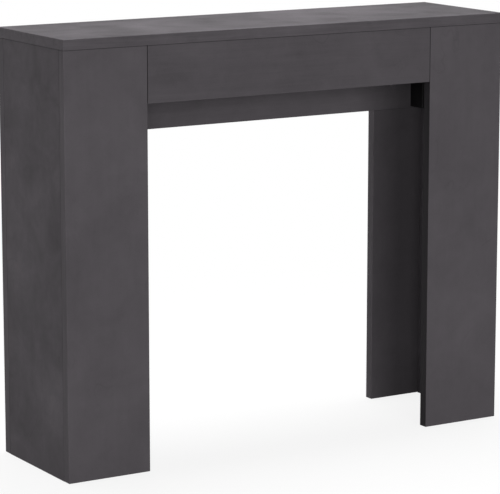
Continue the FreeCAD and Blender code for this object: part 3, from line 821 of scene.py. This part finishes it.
def floor_material(studio):
    """White with a share of the lamps' light near the table, so that its shadow shows there."""
    pale = bpy.data.materials.new("pale_floor")
    pale.use_nodes = True
    pale.node_tree.nodes.clear()
    g = Graph(pale.node_tree)
    white = g.node("ShaderNodeEmission", {"Color": WHITE, "Strength": 1.0}).outputs[0]
    lit = g.node("ShaderNodeBsdfDiffuse", {"Color": toned(studio.floor_colour)}).outputs[0]
    away = g.measure("LENGTH", g.node("ShaderNodeTexCoord").outputs["Object"])
    core = SHADOW_CORE * studio.shadow_reach
    share = g.remap(away, core, studio.shadow_reach, to_low=studio.shadow_share, to_high=0.0)
    shown = g.node("ShaderNodeMixShader", {0: share, 1: white, 2: lit}).outputs[0]
    bounce = g.node("ShaderNodeBsdfDiffuse", {"Color": toned(studio.floor_bounce)}).outputs[0]
    both = g.node("ShaderNodeMixShader", {0: white_rays(g), 1: bounce, 2: shown}).outputs[0]
    g.node("ShaderNodeOutputMaterial", {"Surface": both})
    return pale


def add_floor(context, studio):
    """A pale floor that isn't part of the table."""
    bm = bmesh.new()
    bmesh.ops.create_grid(bm, x_segments=1, y_segments=1, size=FLOOR_HALF_SIZE)
    mesh = bpy.data.meshes.new("floor")
    bm.to_mesh(mesh)
    bm.free()
    mesh.materials.append(floor_material(studio))
    floor = bpy.data.objects.new("floor", mesh)
    context.scene.collection.objects.link(floor)


def light_room(context, studio):
    """Even grey light from all sides, with a white background."""
    world = bpy.data.worlds.new("studio")
    context.scene.world = world
    world.use_nodes = True
    world.node_tree.nodes.clear()
    g = Graph(world.node_tree)
    even = g.node("ShaderNodeBackground", {"Color": WHITE, "Strength": studio.room_light}).outputs[0]
    white = g.node("ShaderNodeBackground", {"Color": WHITE, "Strength": 1.0}).outputs[0]
    both = g.node("ShaderNodeMixShader", {0: white_rays(g), 1: even, 2: white}).outputs[0]
    g.node("ShaderNodeOutputWorld", {"Surface": both})


def add_lamp(context, name, power, size, place, target):
    """A soft lamp that looks at a point."""
    data = bpy.data.lights.new(name, "AREA")
    data.shape = "RECTANGLE"
    data.size, data.size_y = size
    data.energy = power
    lamp = bpy.data.objects.new(name, data)
    lamp.location = place
    lamp.rotation_euler = (Vector(target) - Vector(place)).to_track_quat("-Z", "Y").to_euler()
    lamp.visible_camera = False
    context.scene.collection.objects.link(lamp)


def add_camera(context, studio):
    """The camera, at the photo's viewing angle."""
    data = bpy.data.cameras.new("photo_camera")
    data.sensor_width = SENSOR_WIDTH
    data.lens = studio.camera_lens
    camera = bpy.data.objects.new("photo_camera", data)
    camera.location = studio.camera_place
    camera.rotation_euler = studio.camera_turn
    context.scene.collection.objects.link(camera)
    context.scene.camera = camera


# Operators
class FinishBoards(bpy.types.Operator):
    """Melamine on the nine boards"""

    bl_idname = "console_table.finish_boards"
    bl_label = "Boards"

    def execute(self, context):
        for node in BOARDS:
            dress(node, board_material(node, context.scene.console_table))
        return {"FINISHED"}


class FinishBands(bpy.types.Operator):
    """Plastic on the boards' edge bands"""

    bl_idname = "console_table.finish_bands"
    bl_label = "Edge bands"

    def execute(self, context):
        for node in BOARDS:
            dress(f"{node}_edge_band", band_material(node, context.scene.console_table))
        return {"FINISHED"}


class FinishSlides(bpy.types.Operator):
    """Drawn aluminium on the slide members, nylon on their keys and on the guide blocks, whose near-black is
    also painted shade
    """

    bl_idname = "console_table.finish_slides"
    bl_label = "Slides"

    def execute(self, context):
        table = context.scene.console_table
        metals, small = table.metals, table.small
        aluminium = drawn_material(
            "drawn_aluminium", metals.aluminium, metals.line_spacing, roughness=0.36, run="Y", depth=0.00004)
        nylon = moulded_material(
            "black_nylon", small.nylon, small.grain_size, roughness=0.5, depth=0.00005, gloss=0.15)
        for stage in SLIDE_STAGES:
            for side in ("left", "right"):
                dress(f"{stage}_slide_{side}", aluminium)
                keys = f"{stage}_keys_{side}" if stage.startswith("stage") else f"{stage}_slide_keys"
                dress(keys, nylon)
        # Painted shade: the guide blocks' near-black nylon stands in for the deep shade at the rail's ends
        dress("guide_blocks", nylon)
        return {"FINISHED"}


class FinishFittings(bpy.types.Operator):
    """Zinc on the cam locks and bolts, plated steel on plates, brackets and screws"""

    bl_idname = "console_table.finish_fittings"
    bl_label = "Fittings"

    def execute(self, context):
        metals = context.scene.console_table.metals
        steel = drawn_material(
            "plated_steel", metals.steel, metals.line_spacing * STEEL_LINES, roughness=0.3, run="X",
            depth=0.00003)
        zinc = moulded_material(
            "cast_zinc", metals.zinc, grain_size=0.0012, roughness=0.42, depth=0.00006, metallic=1.0)
        for node in STEEL_PARTS:
            dress(node, steel)
        dress("cam_locks", zinc)
        dress("cam_bolts", zinc)
        return {"FINISHED"}


class FinishDowels(bpy.types.Operator):
    """Beech on the dowels"""

    bl_idname = "console_table.finish_dowels"
    bl_label = "Dowels"

    def execute(self, context):
        dress("wood_dowels", beech_material("raw_beech", context.scene.console_table.small.beech))
        return {"FINISHED"}


class FinishGlides(bpy.types.Operator):
    """Dark plastic on the floor glides"""

    bl_idname = "console_table.finish_glides"
    bl_label = "Floor glides"

    def execute(self, context):
        small = context.scene.console_table.small
        plastic = moulded_material(
            "glide_plastic", small.glide, small.grain_size, roughness=0.45, depth=0.00005)
        dress("front_glides", plastic)
        dress("rear_glides", plastic)
        return {"FINISHED"}


class AddCoverCaps(bpy.types.Operator):
    """Caps over the cam locks, and over the rail screws that show"""

    bl_idname = "console_table.add_cover_caps"
    bl_label = "Cover caps"

    def execute(self, context):
        table = context.scene.console_table
        caps = table.caps
        plastic = moulded_material(
            "cap_plastic", table.bands.colour, grain_size=0.0006, roughness=0.5, depth=0.00004)
        locks = []
        for low, high in solid_boxes("cam_locks"):
            middle = (low + high) / 2
            inner_x, inward = (low.x, -AXES["X"]) if middle.x > 0 else (high.x, AXES["X"])
            locks.append((Vector((inner_x, middle.y, middle.z)), inward))
        cap_piece("cam_cover_caps", locks, caps.cam_cap_diameter, caps, plastic, "front_half")
        rail_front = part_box("rear_rail")[0].y
        heads = []
        for low, high in solid_boxes("rail_screws"):
            if abs(low.y - rail_front) < FLUSH_DISTANCE:
                middle = (low + high) / 2
                heads.append((Vector((middle.x, rail_front, middle.z)), -AXES["Y"]))
        cap_piece("rail_screw_caps", heads, caps.screw_cap_diameter, caps, plastic, "rear_half")
        return {"FINISHED"}


class SetStage(bpy.types.Operator):
    """Floor, light, white background and camera"""

    bl_idname = "console_table.set_stage"
    bl_label = "Studio"

    def execute(self, context):
        studio = context.scene.console_table.studio
        add_floor(context, studio)
        light_room(context, studio)
        for name, (setting, size, place, target) in LAMPS.items():
            add_lamp(context, name, getattr(studio, setting), size, place, target)
        add_camera(context, studio)
        context.scene.view_settings.view_transform = "Standard"
        return {"FINISHED"}


OPERATORS = (
    FinishBoards, FinishBands, FinishSlides, FinishFittings, FinishDowels, FinishGlides, AddCoverCaps,
    SetStage,
)


class ConsoleTablePanel(bpy.types.Panel):
    """The table's steps and settings"""

    bl_idname = "VIEW3D_PT_console_table"
    bl_label = "Console table"
    bl_space_type = "VIEW_3D"
    bl_region_type = "UI"
    bl_category = "Console table"

    def draw(self, context):
        for operator in OPERATORS:
            self.layout.operator(operator.bl_idname)
        table = context.scene.console_table
        for settings in (table.boards, table.bands, table.metals, table.small, table.caps, table.studio):
            box = self.layout.box()
            for name in settings.__annotations__:
                box.prop(settings, name)


CLASSES = (
    BoardFinish, BandFinish, MetalFinish, SmallPartFinish, CoverCaps, Studio, ConsoleTable,
    *OPERATORS, ConsoleTablePanel,
)


def register():
    """Adds the classes and the scene's settings."""
    for item in CLASSES:
        bpy.utils.register_class(item)
    bpy.types.Scene.console_table = PointerProperty(type=ConsoleTable)


def unregister():
    """Takes them away again."""
    del bpy.types.Scene.console_table
    for item in reversed(CLASSES):
        bpy.utils.unregister_class(item)


def main():
    """Dresses the table and sets the stage."""
    register()
    bpy.ops.console_table.finish_boards()
    bpy.ops.console_table.finish_bands()
    bpy.ops.console_table.finish_slides()
    bpy.ops.console_table.finish_fittings()
    bpy.ops.console_table.finish_dowels()
    bpy.ops.console_table.finish_glides()
    bpy.ops.console_table.add_cover_caps()
    bpy.ops.console_table.set_stage()


if __name__ == "__main__":
    main()
